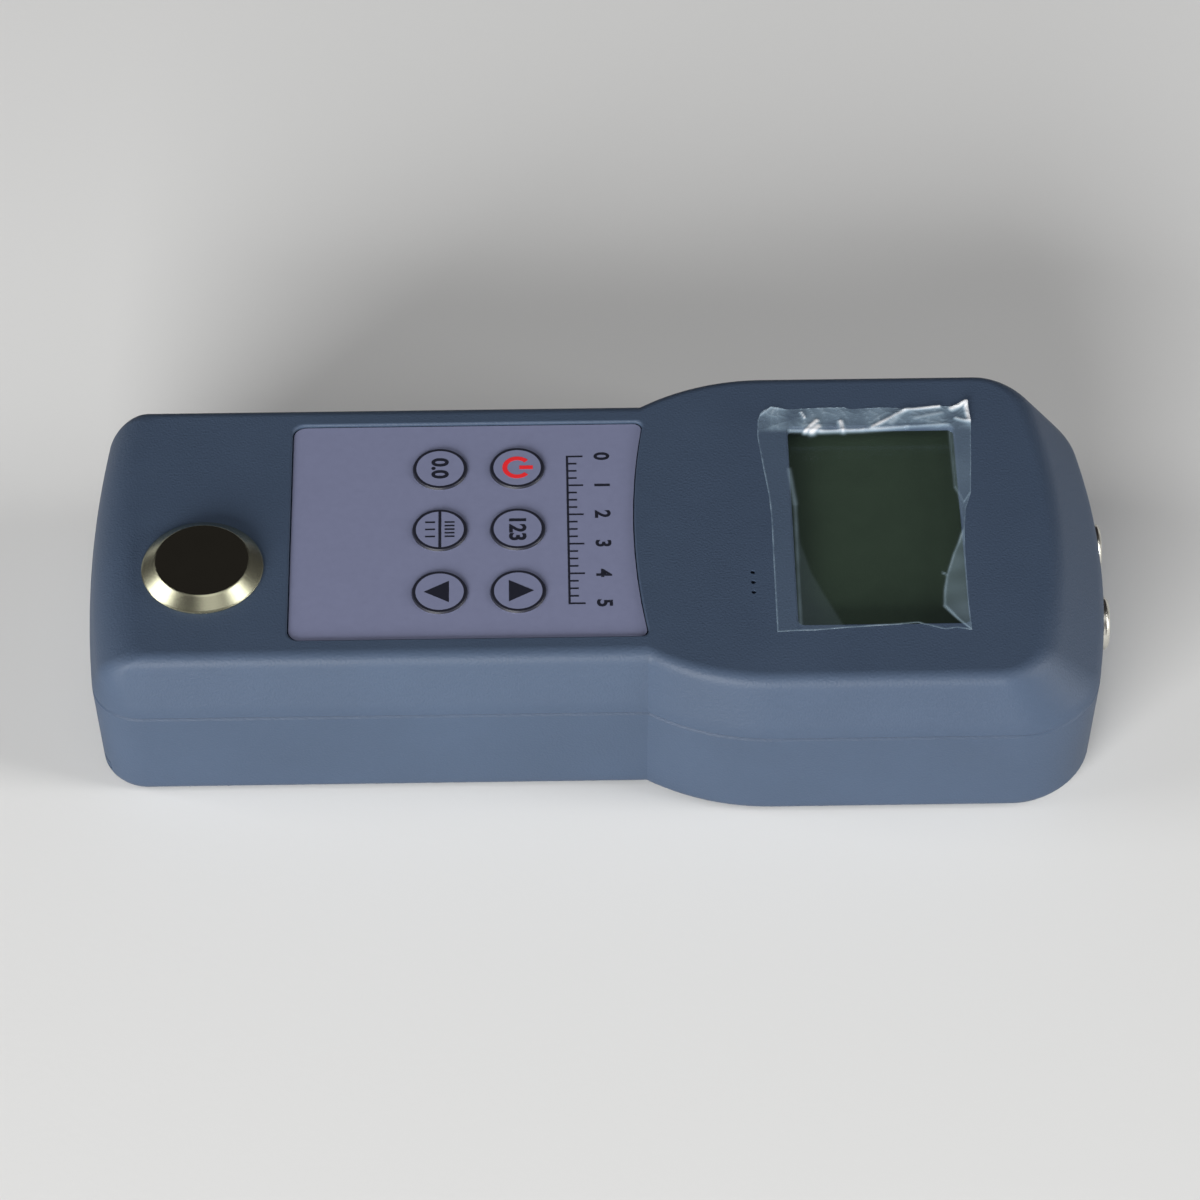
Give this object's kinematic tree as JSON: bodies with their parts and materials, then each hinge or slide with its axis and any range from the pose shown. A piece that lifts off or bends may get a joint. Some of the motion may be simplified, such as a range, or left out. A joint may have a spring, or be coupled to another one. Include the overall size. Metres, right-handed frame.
{
  "type": "ultrasonic thickness gauge",
  "caption": "Hand-held thickness gauge: flared two-part case with a display window, film keypad, steel reference disc, probe sockets and a sliding battery cover.",
  "frame": {"origin": "middle of the flat back, on the line midway along the case", "axes": "+X along the case towards the probe sockets, +Z out of the display, back on the floor"},
  "size_m": [0.1607, 0.069, 0.032],
  "materials": {
    "case_plastic": "satin, finely grained blue-grey ABS",
    "keypad_film": "printed mauve-grey polyester film",
    "key_film": "printed and embossed polyester film",
    "clear_lens": "clear acrylic",
    "clear_film": "thin clear protective film",
    "display_glass": "display glass, switched off, dark olive",
    "white_plastic": "moulded white",
    "black_plastic": "moulded black",
    "contact_rubber": "striped conductive rubber",
    "polished_steel": "turned and lapped",
    "nickel": "nickel plated",
    "brass": "gold flashed",
    "board_laminate": "green solder mask",
    "tinned_steel": "tin or zinc plated",
    "ferrite": "ferrite and lacquered wire",
    "lead_sleeve": "flexible sleeve",
    "cell_sleeve": "plain sleeve over a steel can"
  },
  "bodies": {
    "case": {"front_case": "case_plastic", "rear_case": "case_plastic", "keypad_overlay": "keypad_film", "switch_housings": "black_plastic", "display_window": "clear_lens", "window_film": "clear_film", "lcd_panel": "display_glass", "lcd_frame": "white_plastic", "contact_strips": "contact_rubber", "calibration_disc": "polished_steel", "socket_transmit": "nickel", "socket_receive": "nickel", "socket_insulators": "white_plastic", "socket_contacts": "brass", "socket_nuts": "nickel", "main_board": "board_laminate", "processor_chip": "black_plastic", "receiver_chip": "black_plastic", "crystal_can": "tinned_steel", "pulse_coil": "ferrite", "buzzer": "black_plastic", "cell_springs": "tinned_steel", "cell_plates": "tinned_steel", "probe_leads": "lead_sleeve", "battery_leads": "lead_sleeve", "case_screws": "tinned_steel", "board_screws": "tinned_steel", "cell_1": "cell_sleeve", "cell_2": "cell_sleeve", "cell_3": "cell_sleeve", "cell_4": "cell_sleeve"},
    "battery_cover": {"battery_cover": "case_plastic"},
    "key_power": {"key_power": "key_film", "plunger_power": "black_plastic"},
    "key_code": {"key_code": "key_film", "plunger_code": "black_plastic"},
    "key_up": {"key_up": "key_film", "plunger_up": "black_plastic"},
    "key_zero": {"key_zero": "key_film", "plunger_zero": "black_plastic"},
    "key_units": {"key_units": "key_film", "plunger_units": "black_plastic"},
    "key_down": {"key_down": "key_film", "plunger_down": "black_plastic"}
  },
  "joints": [
    {"name": "cover_slide", "type": "slide", "parent": "case", "child": "battery_cover", "axis": [-1, 0, 0], "range_m": [0, 0.078]},
    {"name": "key_power_press", "type": "slide", "parent": "case", "child": "key_power", "axis": [0, 0, -1], "range_m": [0, 0.0003], "stiffness_N_per_m": 2000, "springref_m": -0.0003},
    {"name": "key_code_press", "type": "slide", "parent": "case", "child": "key_code", "axis": [0, 0, -1], "range_m": [0, 0.0003], "stiffness_N_per_m": 2000, "springref_m": -0.0003},
    {"name": "key_up_press", "type": "slide", "parent": "case", "child": "key_up", "axis": [0, 0, -1], "range_m": [0, 0.0003], "stiffness_N_per_m": 2000, "springref_m": -0.0003},
    {"name": "key_zero_press", "type": "slide", "parent": "case", "child": "key_zero", "axis": [0, 0, -1], "range_m": [0, 0.0003], "stiffness_N_per_m": 2000, "springref_m": -0.0003},
    {"name": "key_units_press", "type": "slide", "parent": "case", "child": "key_units", "axis": [0, 0, -1], "range_m": [0, 0.0003], "stiffness_N_per_m": 2000, "springref_m": -0.0003},
    {"name": "key_down_press", "type": "slide", "parent": "case", "child": "key_down", "axis": [0, 0, -1], "range_m": [0, 0.0003], "stiffness_N_per_m": 2000, "springref_m": -0.0003}
  ]
}
